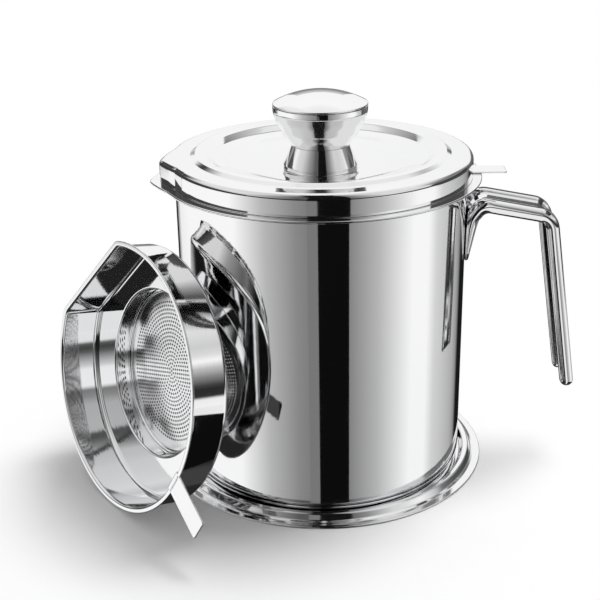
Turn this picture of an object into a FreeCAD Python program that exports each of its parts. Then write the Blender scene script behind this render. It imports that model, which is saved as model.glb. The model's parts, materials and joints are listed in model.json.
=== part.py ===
import FreeCAD, Part
import math
import os
import Sketcher

# A bacon grease container: a tray, a pot with a handle, a strainer seated in its mouth,
# a lid with a knob, and a second strainer that stands on the floor and leans at the pot.
# The pot's axis is Z, the tray rests on Z = 0 and the handle points along +X.

DRIVING = [
    # the pot
    ("wall_radius", 60.0), ("wall_sheet", 0.8), ("pot_floor_height", 0.85),
    ("base_round", 4.5), ("lip_underside", 126.0), ("lip_sheet", 1.0),
    ("lip_radius", 65.85), ("lip_nose_reach", 71.0), ("mouth_radius", 53.4),
    ("nose_turn", 8.0),
    # the tray
    ("tray_radius", 70.0), ("tray_sheet", 0.8), ("tray_ring_inner", 61.2),
    ("tray_ring_crest", 63.2), ("tray_ring_outer", 66.8), ("tray_ring_height", 3.8),
    # the handle
    ("handle_width", 24.0), ("handle_roll", 2.8), ("handle_sheet", 1.3),
    ("handle_hollow", 1.6), ("foot_thickness", 1.7),
    ("handle_foot_height", 92.0), ("handle_top_height", 118.9),
    ("handle_corner_reach", 96.9), ("handle_corner_height", 111.9),
    ("handle_end_reach", 108.6), ("handle_end_height", 33.6),
    ("handle_inner_bend", 8.5), ("handle_outer_bend", 9.5),
    ("foot_pad_width", 20.0), ("foot_pad_top", 107.0),
    # the lid
    ("lid_radius", 62.2), ("lid_nose_reach", 66.9), ("lid_sheet", 0.8),
    ("lid_rise", 9.0), ("lid_edge_round", 1.4), ("lid_bead_rise", 1.0),
    ("lid_bead_outer", 52.4), ("lid_bead_inner", 46.5), ("lid_dish_depth", 6.5),
    ("lid_dish_flat", 17.0),
    # the knob
    ("knob_foot_radius", 15.5), ("knob_neck_radius", 12.0), ("knob_cone_rise", 9.5),
    ("knob_cup_radius", 19.4), ("knob_cup_rise", 16.3), ("knob_cup_sheet", 1.2),
    ("knob_web", 3.6), ("knob_cap_rise", 5.8), ("knob_cap_edge", 0.6),
    ("screw_radius", 2.0), ("screw_head_radius", 4.0), ("screw_head_height", 2.4),
    ("washer_radius", 6.5), ("washer_sheet", 0.8),
    # the strainer, the same for the seated one and the standing one
    ("rim_radius", 54.8), ("rim_flange", 1.7), ("rim_flat", 46.8), ("strainer_sheet", 0.7),
    ("bowl_depth", 17.3), ("bowl_bend", 2.5), ("well_radius", 35.3), ("well_depth", 25.4),
    ("tab_width", 10.0), ("tab_reach", 76.0), ("tab_turn", 15.5), ("disc_radius", 34.5),
    ("outlet_radius", 32.4), ("hole_radius", 2.2), ("hole_pitch", 12.0), ("hole_rings", 2),
    ("ring_width", 1.2), ("ring_height", 0.8),
    # the standing strainer's bearing from the pot, the way its mouth points and its turn
    ("stand_bearing", -151.9), ("stand_azimuth", -142.8), ("stand_tilt", 10.2),
    ("stand_turn", 44.2),
    # clearances
    ("rest_gap", 0.05), ("lean_gap", 0.3), ("screw_gap", 0.15), ("weld_gap", 0.02), ("tab_gap", 0.5),
]


class Size:
    """A length that keeps its number and the formula that gives it in the table of sizes."""

    def __init__(self, number, formula):
        self.number = float(number)
        self.formula = formula

    @staticmethod
    def of(value):
        return value if isinstance(value, Size) else Size(value, repr(float(value)))

    def joined(self, other, sign, number):
        return Size(number, "(%s %s %s)" % (self.formula, sign, Size.of(other).formula))

    def __add__(self, other):
        return self.joined(other, "+", self.number + Size.of(other).number)

    def __sub__(self, other):
        return self.joined(other, "-", self.number - Size.of(other).number)

    def __mul__(self, other):
        return self.joined(other, "*", self.number * Size.of(other).number)

    def __truediv__(self, other):
        return self.joined(other, "/", self.number / Size.of(other).number)

    def __rsub__(self, other):
        return Size.of(other) - self

    def __neg__(self):
        return Size(-self.number, "(0 - %s)" % self.formula)

    def root(self):
        return Size(math.sqrt(self.number), "sqrt(%s)" % self.formula)


def table_of_sizes(doc):
    """Write every driving size into a sheet and hand back one Size for each name."""
    sheet = doc.addObject("Spreadsheet::Sheet", "Sizes")
    sizes = {}
    for row, (name, value) in enumerate(DRIVING, start=1):
        sheet.set("A%d" % row, name)
        sheet.set("B%d" % row, str(value))
        sheet.setAlias("B%d" % row, name)
        sizes[name] = Size(value, "Sizes." + name)
    doc.recompute()
    return sizes


def plane_of(body, role):
    return [part for part in body.Origin.OriginFeatures if part.Role == role][0]


def outline(body, name, role, corners, height=None):
    """Draw a closed outline whose every corner is held by formulas of the sizes."""
    sketch = body.newObject("Sketcher::SketchObject", name)
    sketch.AttachmentSupport = [(plane_of(body, role), "")]
    sketch.MapMode = "FlatFace"
    if height is not None:
        sketch.setExpression("AttachmentOffset.Base.z", Size.of(height).formula)
    points = [(Size.of(across), Size.of(up)) for across, up in corners]
    count = len(points)
    for index in range(count):
        start = points[index]
        end = points[(index + 1) % count]
        sketch.addGeometry(Part.LineSegment(
            FreeCAD.Vector(start[0].number, start[1].number, 0),
            FreeCAD.Vector(end[0].number, end[1].number, 0)))
    for index in range(count):
        sketch.addConstraint(Sketcher.Constraint("Coincident", index, 2, (index + 1) % count, 1))
    for index, (across, up) in enumerate(points):
        hold(sketch, "DistanceX", index, across, -2)
        hold(sketch, "DistanceY", index, up, -1)
    return sketch


def hold(sketch, kind, corner, size, axis):
    """Hold one coordinate of one corner: on an axis, or at a distance from the origin."""
    if abs(size.number) < 1e-9:
        sketch.addConstraint(Sketcher.Constraint("PointOnObject", corner, 1, axis))
        return
    place = sketch.addConstraint(Sketcher.Constraint(kind, -1, 1, corner, 1, size.number))
    sketch.setExpression("Constraints[%d]" % place, size.formula)


def turned(body, name, corners, feature="PartDesign::Revolution"):
    """Turn an outline of radius and height about the pot's axis, as material or as a hollow."""
    sketch = outline(body, name + "_profile", "XZ_Plane", corners)
    turn = body.newObject(feature, name)
    turn.Profile = sketch
    turn.ReferenceAxis = (sketch, ["V_Axis"])
    turn.Angle = 360.0
    body.Document.recompute()
    return turn


def raised(body, name, corners, height, thickness):
    """Raise a flat outline from a height by a thickness."""
    sketch = outline(body, name + "_plan", "XY_Plane", corners, height)
    pad = body.newObject("PartDesign::Pad", name)
    pad.Profile = sketch
    pad.setExpression("Length", Size.of(thickness).formula)
    body.Document.recompute()
    return pad


def sunk(body, name, corners, height, depth):
    """Sink a flat outline upwards from a height, and check that material left the body."""
    before = body.Shape.Volume
    sketch = outline(body, name + "_plan", "XY_Plane", corners, height)
    pocket = body.newObject("PartDesign::Pocket", name)
    pocket.Profile = sketch
    pocket.Reversed = True
    pocket.setExpression("Length", Size.of(depth).formula)
    body.Document.recompute()
    if body.Shape.Volume >= before - 1.0:
        raise RuntimeError(name + " removed nothing")
    return pocket


def new_body(doc, label):
    body = doc.addObject("PartDesign::Body", label)
    body.Label = label
    return body


def nose(circle, reach, inner):
    """A pointed nose along -X: its point, where its sides touch the circle, and its inner end."""
    along = circle * circle / reach
    across = circle * (1.0 - (circle / reach) * (circle / reach)).root()
    return [(-reach, 0), (-along, -across), (-inner, 0), (-along, across)]


def swung(feature, turn):
    """Swing the outline of a feature about the pot's axis by an angle from the table."""
    feature.Profile[0].setExpression("AttachmentOffset.Rotation.Angle", turn.formula)
    feature.Document.recompute()
    return feature


def tray(doc, s):
    """A pressed plate with a raised ring that stands round the pot's foot."""
    sheet = s["tray_sheet"]
    top = s["tray_ring_height"]
    body = new_body(doc, "tray")
    turned(body, "tray_plate", [
        (0, 0), (s["tray_ring_inner"], 0), (s["tray_ring_crest"] - 0.8, top - sheet),
        (s["tray_ring_crest"] + 0.8, top - sheet), (s["tray_ring_outer"] - 0.9, 0.3),
        (s["tray_ring_outer"], 0), (s["tray_radius"], 0), (s["tray_radius"], sheet),
        (s["tray_ring_outer"] + 0.3, sheet), (s["tray_ring_crest"] + 1.2, top - 0.2),
        (s["tray_ring_crest"], top), (s["tray_ring_crest"] - 1.1, top - 0.3),
        (s["tray_ring_inner"] - 0.4, sheet), (0, sheet)])
    return body


def pot_body(doc, s):
    """A drawn pot with a rounded foot, a flat lip that narrows the mouth and a pouring nose."""
    wall = s["wall_radius"]
    sheet = s["wall_sheet"]
    foot = s["pot_floor_height"]
    bend = s["base_round"]
    under = s["lip_underside"]
    top = under + s["lip_sheet"]
    inner_bend = bend - sheet
    body = new_body(doc, "pot_body")
    turned(body, "pot_shell", [
        (0, foot), (wall - bend, foot), (wall - bend * 0.5, foot + bend * 0.134),
        (wall - bend * 0.134, foot + bend * 0.5), (wall, foot + bend), (wall, under),
        (s["lip_radius"], under), (s["lip_radius"], top), (s["mouth_radius"], top),
        (s["mouth_radius"], under), (wall - sheet, under), (wall - sheet, foot + bend),
        (wall - sheet - inner_bend * 0.134, foot + bend - inner_bend * 0.5),
        (wall - sheet - inner_bend * 0.5, foot + bend - inner_bend * 0.866),
        (wall - bend, foot + sheet), (0, foot + sheet)])
    swung(raised(body, "pouring_nose", nose(s["lip_radius"], s["lip_nose_reach"], wall + 0.5),
                 under, s["lip_sheet"]), s["nose_turn"])
    return body


def strip_path(corners, bends):
    """Straight runs joined by round bends, as a list of (start, middle or None, end)."""
    runs = []
    last = corners[0]
    for index in range(1, len(corners) - 1):
        before = FreeCAD.Vector(*corners[index - 1])
        here = FreeCAD.Vector(*corners[index])
        after = FreeCAD.Vector(*corners[index + 1])
        arriving = (here - before).normalize()
        leaving = (after - here).normalize()
        turn = arriving.getAngle(leaving)
        reach = bends[index - 1] * math.tan(turn / 2)
        begin = here - arriving * reach
        end = here + leaving * reach
        inward = (leaving - arriving).normalize()
        centre = here + inward * (bends[index - 1] / math.cos(turn / 2))
        middle = centre - inward * bends[index - 1]
        runs.append((last, None, (begin.x, begin.y, begin.z)))
        runs.append(((begin.x, begin.y, begin.z), (middle.x, middle.y, middle.z),
                     (end.x, end.y, end.z)))
        last = (end.x, end.y, end.z)
    runs.append((last, None, corners[-1]))
    return runs


def inset(corners, amount):
    """Move a bent line sideways towards the inside of its bends by an amount."""
    lines = []
    for index in range(len(corners) - 1):
        start = FreeCAD.Vector(*corners[index])
        end = FreeCAD.Vector(*corners[index + 1])
        along = (end - start).normalize()
        side = FreeCAD.Vector(along.z, 0, -along.x) * amount
        lines.append((start + side, end + side))
    moved = [lines[0][0]]
    for index in range(len(lines) - 1):
        a, b = lines[index]
        c, d = lines[index + 1]
        first = b - a
        second = d - c
        cross = first.x * second.z - first.z * second.x
        share = ((c.x - a.x) * second.z - (c.z - a.z) * second.x) / cross
        moved.append(a + first * share)
    moved.append(lines[-1][1])
    return [(point.x, point.y, point.z) for point in moved]


def edges_of(runs, backwards=False):
    made = []
    for start, middle, end in runs:
        first = FreeCAD.Vector(*start)
        last = FreeCAD.Vector(*end)
        if middle is None:
            made.append(Part.LineSegment(first, last).toShape())
        else:
            made.append(Part.Arc(first, FreeCAD.Vector(*middle), last).toShape())
    return made[::-1] if backwards else made


def strip_solid(corners, bends, outer, inner, width):
    """The solid between two insets of one bent line, of a width that is centred on Y = 0."""
    outside = strip_path(inset(corners, outer), [bend - outer for bend in bends])
    inside = strip_path(inset(corners, inner), [bend - inner for bend in bends])
    edges = edges_of(outside)
    edges.append(Part.LineSegment(FreeCAD.Vector(*outside[-1][2]),
                                  FreeCAD.Vector(*inside[-1][2])).toShape())
    edges += edges_of(inside, True)
    edges.append(Part.LineSegment(FreeCAD.Vector(*inside[0][0]),
                                  FreeCAD.Vector(*outside[0][0])).toShape())
    face = Part.Face(Part.Wire(Part.__sortEdges__(edges)))
    face.translate(FreeCAD.Vector(0, -width / 2, 0))
    return face.extrude(FreeCAD.Vector(0, width, 0))


def rolled_edge(corners, bends, roll, side):
    """One long edge of the strip, rolled into a round bead that ends in a round tip."""
    spine = inset(corners, roll)
    runs = strip_path(spine, [bend - roll for bend in bends])
    path = Part.Wire(Part.__sortEdges__(edges_of(runs)))
    start = FreeCAD.Vector(*spine[0])
    ring = Part.Wire([Part.makeCircle(roll, start, FreeCAD.Vector(0, 0, 1))])
    bead = path.makePipeShell([ring], True, False)
    tip = FreeCAD.Vector(*spine[-1])
    rim = [edge for edge in bead.Edges if edge.CenterOfMass.distanceToPoint(tip) < 0.01]
    bead = bead.makeFillet(roll * 0.9, rim)
    bead.translate(FreeCAD.Vector(0, side, 0))
    return bead


def handle(doc, s):
    """A bent strip with both long edges rolled, whose foot lies on the pot's wall."""
    n = {name: size.number for name, size in s.items()}
    face = n["wall_radius"] + n["weld_gap"]
    corners = [(face, 0, n["handle_foot_height"]), (face, 0, n["handle_top_height"]),
               (n["handle_corner_reach"], 0, n["handle_corner_height"]),
               (n["handle_end_reach"], 0, n["handle_end_height"])]
    bends = [n["handle_inner_bend"], n["handle_outer_bend"]]
    sheet = n["handle_sheet"]
    roll = n["handle_roll"]
    width = n["handle_width"]
    hollow = n["handle_hollow"]
    web = strip_solid(corners, bends, hollow, hollow + sheet, width - 2 * roll)
    side = width / 2 - roll
    shape = web.fuse([rolled_edge(corners, bends, roll, -side),
                      rolled_edge(corners, bends, roll, side)])
    foot = n["handle_foot_height"]
    knee = n["handle_top_height"] - n["handle_inner_bend"]
    thin = face + n["foot_thickness"]
    thick = face + 2 * roll
    wedge = Part.Face(Part.makePolygon([FreeCAD.Vector(x, -width, z) for x, z in (
        (thin, foot - 1), (thin, foot), (thick, knee), (thick + roll, knee),
        (thick + roll, foot - 1), (thin, foot - 1))]))
    shape = shape.cut(wedge.extrude(FreeCAD.Vector(0, 2 * width, 0)))
    pad = Part.makeBox(thin - face + 2.0, n["foot_pad_width"], n["foot_pad_top"] - foot,
                       FreeCAD.Vector(face - 2.0, -n["foot_pad_width"] / 2, foot))
    shape = shape.fuse(pad).cut(Part.makeCylinder(face, n["handle_top_height"] * 2))
    shape = shape.removeSplitter()
    feature = doc.addObject("Part::Feature", "handle")
    feature.Label = "handle"
    feature.Shape = shape.Solids[0] if len(shape.Solids) == 1 else shape
    return feature


def lid_heights(s):
    """The heights of the lid's flat margin and of the dish that carries the knob."""
    top = s["lip_underside"] + s["lip_sheet"] + s["lid_rise"]
    return top, top - s["lid_dish_depth"]


def lid_shell(doc, s):
    """A thin lid: a skirt, a flat margin, a raised ring and a dished middle for the knob."""
    rim = s["lid_radius"]
    sheet = s["lid_sheet"]
    foot = s["lip_underside"] + s["lip_sheet"] + s["rest_gap"]
    top, dish = lid_heights(s)
    bend = s["lid_edge_round"]
    crest = top + s["lid_bead_rise"]
    outer = s["lid_bead_outer"]
    inner = s["lid_bead_inner"]
    middle = (outer + inner) / 2.0
    bore = s["screw_radius"] + s["screw_gap"]
    fall = s["lid_dish_depth"]
    body = new_body(doc, "lid_shell")
    turned(body, "lid_outside", [
        (0, foot), (rim, foot), (rim, top - bend), (rim - bend * 0.3, top - bend * 0.3),
        (rim - bend, top), (outer, top), (middle, crest), (inner, top + 0.2),
        (inner - 9.0, top - fall * 0.5), (inner - 20.0, top - fall * 0.86),
        (s["lid_dish_flat"], dish), (0, dish)])
    swung(raised(body, "lid_nose", nose(rim, s["lid_nose_reach"], outer), foot, top - foot),
          s["nose_turn"])
    turned(body, "lid_inside", [
        (0, foot - 1.0), (rim - sheet, foot - 1.0), (rim - sheet, top - bend),
        (rim - bend, top - sheet), (outer, top - sheet), (middle, crest - sheet),
        (inner, top - sheet + 0.1), (inner - 9.0, top - fall * 0.5 - sheet),
        (inner - 20.0, top - fall * 0.86 - sheet), (s["lid_dish_flat"], dish - sheet),
        (0, dish - sheet)], "PartDesign::Groove")
    inner_rim = rim - sheet
    swung(sunk(body, "lid_nose_inside", nose(inner_rim, s["lid_nose_reach"] - sheet * 1.08, outer),
               foot - 0.01, top - sheet - foot + 0.01), s["nose_turn"])
    slot = s["tab_width"] / 2.0 + s["tab_gap"]
    sunk(body, "tab_notch", [(rim - 3.0, -slot), (rim + 2.0, -slot), (rim + 2.0, slot),
                             (rim - 3.0, slot)],
         foot - 0.01, s["strainer_sheet"] + s["tab_gap"])
    turned(body, "screw_hole", [(0, dish - 3.0), (bore, dish - 3.0), (bore, dish + 1.0),
                                (0, dish + 1.0)], "PartDesign::Groove")
    return body


def knob(doc, s):
    """A waisted knob in three pieces over the screw that holds it to the lid."""
    base = lid_heights(s)[1]
    neck = base + s["knob_cone_rise"]
    cup = neck + s["knob_cup_rise"]
    waist = s["knob_neck_radius"]
    wide = s["knob_cup_radius"]
    sheet = s["knob_cup_sheet"]
    bore = s["screw_radius"] + s["screw_gap"]
    floor = neck + s["knob_web"]
    foot_body = new_body(doc, "knob_base")
    turned(foot_body, "base_cone", [
        (bore, base), (s["knob_foot_radius"], base), (s["knob_foot_radius"] - 0.3, base + 0.8),
        (waist, neck), (bore, neck)])
    cup_body = new_body(doc, "knob_cup")
    hold_fast = s["screw_radius"] + s["weld_gap"]
    rise = s["knob_cup_rise"]
    turned(cup_body, "cup_wall", [
        (hold_fast, neck), (waist, neck), (waist + 3.7, neck + rise * 0.41),
        (wide - 1.5, neck + rise * 0.7), (wide, cup), (wide - sheet, cup),
        (wide - sheet - 1.7, neck + rise * 0.7), (waist + 1.6 - sheet, floor),
        (hold_fast, floor)])
    cap_body = new_body(doc, "knob_cap")
    edge = cup + s["knob_cap_edge"]
    rise = s["knob_cap_rise"] - s["knob_cap_edge"]
    turned(cap_body, "cap_dome", [
        (0, cup), (wide, cup), (wide, edge), (wide - 2.0, edge + rise * 0.21),
        (wide - 5.0, edge + rise * 0.47), (wide - 9.0, edge + rise * 0.73),
        (wide - 14.0, edge + rise * 0.93), (0, edge + rise)])
    under = base - s["lid_sheet"]
    washer = new_body(doc, "knob_washer")
    turned(washer, "washer_ring", [
        (bore, under - s["washer_sheet"]), (s["washer_radius"], under - s["washer_sheet"]),
        (s["washer_radius"], under), (bore, under)])
    low = under - s["washer_sheet"]
    screw = new_body(doc, "knob_screw")
    turned(screw, "screw_shank", [
        (0, low - s["screw_head_height"]),
        (s["screw_head_radius"] - 0.8, low - s["screw_head_height"]),
        (s["screw_head_radius"], low - s["screw_head_height"] + 0.9),
        (s["screw_head_radius"], low), (s["screw_radius"], low),
        (s["screw_radius"], floor - 0.4), (0, floor - 0.4)])
    return [foot_body, cup_body, cap_body, washer, screw]


def cut_disc(doc, name, radius, flat, bottom, height):
    """A round plate with one side cut off flat, standing on a height."""
    disc = doc.addObject("Part::Cylinder", name + "_round")
    disc.setExpression("Radius", radius.formula)
    disc.setExpression("Height", Size.of(height).formula)
    disc.setExpression("Placement.Base.z", Size.of(bottom).formula)
    block = doc.addObject("Part::Box", name + "_side")
    block.setExpression("Length", (flat + radius + 1.0).formula)
    block.setExpression("Width", (radius * 2.0 + 2.0).formula)
    block.setExpression("Height", Size.of(height).formula)
    block.setExpression("Placement.Base.x", (-flat).formula)
    block.setExpression("Placement.Base.y", (-(radius + 1.0)).formula)
    block.setExpression("Placement.Base.z", Size.of(bottom).formula)
    both = doc.addObject("Part::Common", name)
    both.Base = disc
    both.Tool = block
    return both


def joined(doc, name, parts):
    whole = doc.addObject("Part::MultiFuse", name)
    whole.Shapes = parts
    return whole


def rounded_foot(doc, name, block, radius):
    """Round the lowest edges of a block."""
    doc.recompute()
    low = block.Shape.BoundBox.ZMin
    soft = doc.addObject("Part::Fillet", name)
    soft.Base = block
    soft.Edges = [(number, radius.number, radius.number)
                  for number, edge in enumerate(block.Shape.Edges, start=1)
                  if edge.BoundBox.ZMax < low + 0.01]
    return soft


def drum(doc, name, radius, bottom, height):
    block = doc.addObject("Part::Cylinder", name)
    block.setExpression("Radius", radius.formula)
    block.setExpression("Height", Size.of(height).formula)
    block.setExpression("Placement.Base.z", Size.of(bottom).formula)
    return block


def lifting_tab(doc, s, name):
    """A flat tab that leaves the rim at a turn from the side that faces the flat."""
    inner = s["rim_radius"] - 3.0
    half = s["tab_width"] / 2.0
    turn = s["tab_turn"].formula
    tab = doc.addObject("Part::Box", name)
    tab.setExpression("Length", (s["tab_reach"] - inner).formula)
    tab.setExpression("Width", s["tab_width"].formula)
    tab.setExpression("Height", s["strainer_sheet"].formula)
    tab.setExpression("Placement.Base.x", "%s * cos(%s) + %s * sin(%s)" % (
        inner.formula, turn, half.formula, turn))
    tab.setExpression("Placement.Base.y", "%s * sin(%s) - %s * cos(%s)" % (
        inner.formula, turn, half.formula, turn))
    tab.setExpression("Placement.Base.z", (-s["strainer_sheet"]).formula)
    tab.setExpression("Placement.Rotation.Angle", turn)
    return tab


def strainer_bowl(doc, s, name, place):
    """A shallow bowl with a flat side, a thin flange, a lifting tab and a round well."""
    sheet = s["strainer_sheet"]
    rim = s["rim_radius"]
    flat = s["rim_flat"]
    wall = rim - s["rim_flange"]
    side = flat - s["rim_flange"]
    depth = s["bowl_depth"]
    bend = s["bowl_bend"]
    well = s["well_radius"]
    foot = s["well_depth"]
    whole = joined(doc, name + "_outside", [
        cut_disc(doc, name + "_rim", rim, flat, -sheet, sheet),
        rounded_foot(doc, name + "_wall", cut_disc(doc, name + "_drawn", wall, side, -depth, depth),
                     bend),
        drum(doc, name + "_well", well, -foot, foot), lifting_tab(doc, s, name + "_tab")])
    hollow = joined(doc, name + "_hollow", [
        rounded_foot(doc, name + "_room", cut_disc(doc, name + "_space", wall - sheet, side - sheet,
                                                   sheet - depth, depth + 1.0), bend - sheet),
        drum(doc, name + "_well_room", well - sheet, sheet - foot, foot),
        drum(doc, name + "_outlet", s["outlet_radius"], -(foot + sheet), sheet * 3.0)])
    bowl = doc.addObject("Part::Cut", name)
    bowl.Base = whole
    bowl.Tool = hollow
    bowl.Label = name
    bowl.Placement = place
    return bowl


def strainer_collar(doc, s, name, place):
    """A ring in the well that holds the holed disc down."""
    outer = s["disc_radius"]
    inner = outer - s["ring_width"]
    low = s["strainer_sheet"] * 2.0 - s["well_depth"]
    high = low + s["ring_height"]
    body = new_body(doc, name)
    turned(body, name + "_ring", [(inner, low), (outer, low), (outer, high),
                                  (inner + 0.4, high), (inner, high - 0.4)])
    body.Placement = place
    return body


def strainer_disc(doc, s, name, place):
    """A disc with rings of round holes, six more in each ring than in the one inside it."""
    sheet = s["strainer_sheet"]
    disc = doc.addObject("Part::Cylinder", name + "_blank")
    disc.setExpression("Radius", s["disc_radius"].formula)
    disc.setExpression("Height", sheet.formula)
    disc.setExpression("Placement.Base.z", (sheet - s["well_depth"]).formula)
    bottom = sheet.number - s["well_depth"].number
    spots = [(0.0, 0.0)]
    for ring in range(1, int(s["hole_rings"].number) + 1):
        reach = ring * s["hole_pitch"].number
        for step in range(6 * ring):
            angle = 2 * math.pi * step / (6 * ring)
            spots.append((reach * math.cos(angle), reach * math.sin(angle)))
    holes = doc.addObject("Part::Feature", name + "_holes")
    holes.Shape = Part.makeCompound([Part.makeCylinder(
        s["hole_radius"].number, sheet.number + 2.0, FreeCAD.Vector(x, y, bottom - 1.0))
        for x, y in spots])
    part = doc.addObject("Part::Cut", name)
    part.Base = disc
    part.Tool = holes
    part.Label = name
    part.Placement = place
    return part


def strainer(doc, s, prefix, place):
    return [strainer_bowl(doc, s, prefix + "_bowl", place),
            strainer_collar(doc, s, prefix + "_collar", place),
            strainer_disc(doc, s, prefix + "_disc", place)]


def seated_place(s):
    """The strainer's rim lies on the pot's lip with its tab over the handle."""
    height = s["lip_underside"] + s["lip_sheet"] + s["rest_gap"] + s["strainer_sheet"]
    turn = FreeCAD.Rotation(FreeCAD.Vector(0, 0, 1), -s["tab_turn"].number)
    return FreeCAD.Placement(FreeCAD.Vector(0, 0, height.number), turn)


def standing_place(s, reach):
    """The strainer stands on its rounded wall, at a reach from the pot's axis."""
    azimuth = math.radians(s["stand_azimuth"].number)
    bearing = math.radians(s["stand_bearing"].number)
    tilt = math.radians(s["stand_tilt"].number)
    turn = math.radians(s["stand_turn"].number)
    bend = s["bowl_bend"].number
    mouth = FreeCAD.Vector(math.cos(tilt) * math.cos(azimuth),
                           math.cos(tilt) * math.sin(azimuth), math.sin(tilt))
    level = FreeCAD.Vector(math.sin(azimuth), -math.cos(azimuth), 0)
    upward = level.cross(mouth)
    along = (level * math.cos(turn) + upward * math.sin(turn)) * -1
    across = mouth.cross(along)
    turning = FreeCAD.Matrix(along.x, across.x, mouth.x, 0, along.y, across.y, mouth.y, 0,
                             along.z, across.z, mouth.z, 0, 0, 0, 0, 1)
    height = ((s["rim_radius"].number - s["rim_flange"].number - bend) * math.cos(tilt)
              + (s["bowl_depth"].number - bend) * math.sin(tilt) + bend + s["rest_gap"].number)
    spot = FreeCAD.Vector(reach * math.cos(bearing), reach * math.sin(bearing), height)
    return FreeCAD.Placement(spot, FreeCAD.Placement(turning).Rotation)


def lean(s, pieces, carriers):
    """Slide the standing strainer over the floor until it all but touches the pot."""
    gap = s["lean_gap"].number
    reach = s["wall_radius"].number + s["rim_radius"].number + s["bowl_depth"].number
    bowl = pieces[0]
    for _ in range(30):
        bowl.Placement = standing_place(s, reach)
        room = min(bowl.Shape.distToShape(carrier.Shape)[0] for carrier in carriers)
        if room < gap * 1.1:
            break
        reach -= room - gap
    for part in pieces:
        part.Placement = standing_place(s, reach)
    place = bowl.Placement
    mouth = place.Rotation.multVec(FreeCAD.Vector(0, 0, 1))
    print("standing strainer: centre %.3f %.3f %.3f mouth %.5f %.5f %.5f room %.3f" % (
        place.Base.x, place.Base.y, place.Base.z, mouth.x, mouth.y, mouth.z, room))


def check(doc, parts):
    """Stop if any object is in a bad state or any part is not one sound solid."""
    for item in doc.Objects:
        if "Invalid" in item.State or "Error" in item.State:
            raise RuntimeError("bad state: " + item.Name)
    for part in parts:
        shape = part.Shape
        if shape.isNull() or not shape.isValid():
            raise RuntimeError("bad shape: " + part.Label)
        if len(shape.Solids) != 1:
            raise RuntimeError("%s has %d solids" % (part.Label, len(shape.Solids)))


def main():
    doc = FreeCAD.newDocument("GreaseContainer")
    s = table_of_sizes(doc)
    parts = [tray(doc, s), pot_body(doc, s), handle(doc, s), lid_shell(doc, s)]
    parts += knob(doc, s)
    parts += strainer(doc, s, "strainer", seated_place(s))
    spare = strainer(doc, s, "spare_strainer", standing_place(s, 200.0))
    doc.recompute()
    lean(s, spare, parts[:2])
    parts += spare
    doc.recompute()
    check(doc, parts)
    os.makedirs("parts", exist_ok=True)
    for part in parts:
        part.Shape.exportStep("parts/%s.step" % part.Label)
        box = part.Shape.BoundBox
        print("%-24s volume %9.1f  x %7.2f %7.2f  y %7.2f %7.2f  z %7.2f %7.2f" % (
            part.Label, part.Shape.Volume, box.XMin, box.XMax, box.YMin, box.YMax,
            box.ZMin, box.ZMax))


main()
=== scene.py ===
# %% [markdown]
# # A grease pot in polished steel
#
# The pot stands on a round tray. It has a lid with a waisted knob, a bent handle and a
# strainer whose tab comes out from under the lid. A second strainer leans at its left.
# Every sheet of it is thin polished steel, so nearly all that the eye sees is the room
# in the metal. Two things matter most here: forms that are truly smooth, and a room
# with the right light and dark places for them to show.

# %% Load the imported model
import json
import math

import bpy
from mathutils import Matrix, Vector


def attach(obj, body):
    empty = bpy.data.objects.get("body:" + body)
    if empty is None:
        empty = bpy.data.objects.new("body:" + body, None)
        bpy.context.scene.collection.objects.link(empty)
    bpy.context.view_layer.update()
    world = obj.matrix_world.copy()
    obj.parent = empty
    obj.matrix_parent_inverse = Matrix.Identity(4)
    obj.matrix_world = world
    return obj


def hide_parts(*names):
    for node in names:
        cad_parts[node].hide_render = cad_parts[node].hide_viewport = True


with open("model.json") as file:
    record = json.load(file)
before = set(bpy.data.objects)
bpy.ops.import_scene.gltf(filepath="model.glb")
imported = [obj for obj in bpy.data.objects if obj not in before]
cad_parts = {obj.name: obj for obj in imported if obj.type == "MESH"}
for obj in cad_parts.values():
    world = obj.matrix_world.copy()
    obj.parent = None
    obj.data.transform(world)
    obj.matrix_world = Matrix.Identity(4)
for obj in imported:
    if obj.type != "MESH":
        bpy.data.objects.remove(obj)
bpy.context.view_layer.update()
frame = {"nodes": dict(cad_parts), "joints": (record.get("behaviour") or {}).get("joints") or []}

MM = 0.001
print("nodes:", sorted(frame["nodes"]))

# %% [markdown]
# ## The measures that several pieces share
#
# Heights are above the floor and widths are from the pot's axis, all in millimetres. The
# sheets lie on each other, so most heights follow from the lip's and from a small gap.

# %% Name the shared measures
SHEET = 0.8
GAP = 0.05
POT_OUT = 60.0
POT_IN = POT_OUT - SHEET
POT_FOOT = SHEET + GAP
LIP_TOP = 127.0
LIP_FOOT = LIP_TOP - 1.0
LIP_OUT = 65.85
MOUTH = 53.4
LID_OUT = 62.2
LID_IN = LID_OUT - SHEET
SKIRT_FOOT = LIP_TOP + GAP
LID_TOP = 136.0
DISH = 129.5
SCREW_HOLE = 2.15
KNOB_WAIST = 139.0
print("pot: %g mm across, lip at %g mm, lid at %g mm" % (2 * POT_OUT, LIP_TOP, LID_TOP))

# %% [markdown]
# ## Shader maths as plain expressions
#
# A material is a small graph of nodes. Wiring each sum by hand hides the idea, so one
# class holds a socket and adds a Math node for each sign that is written after it.
# Every other node comes from one function: its type, its settings, then its inputs.

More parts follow.
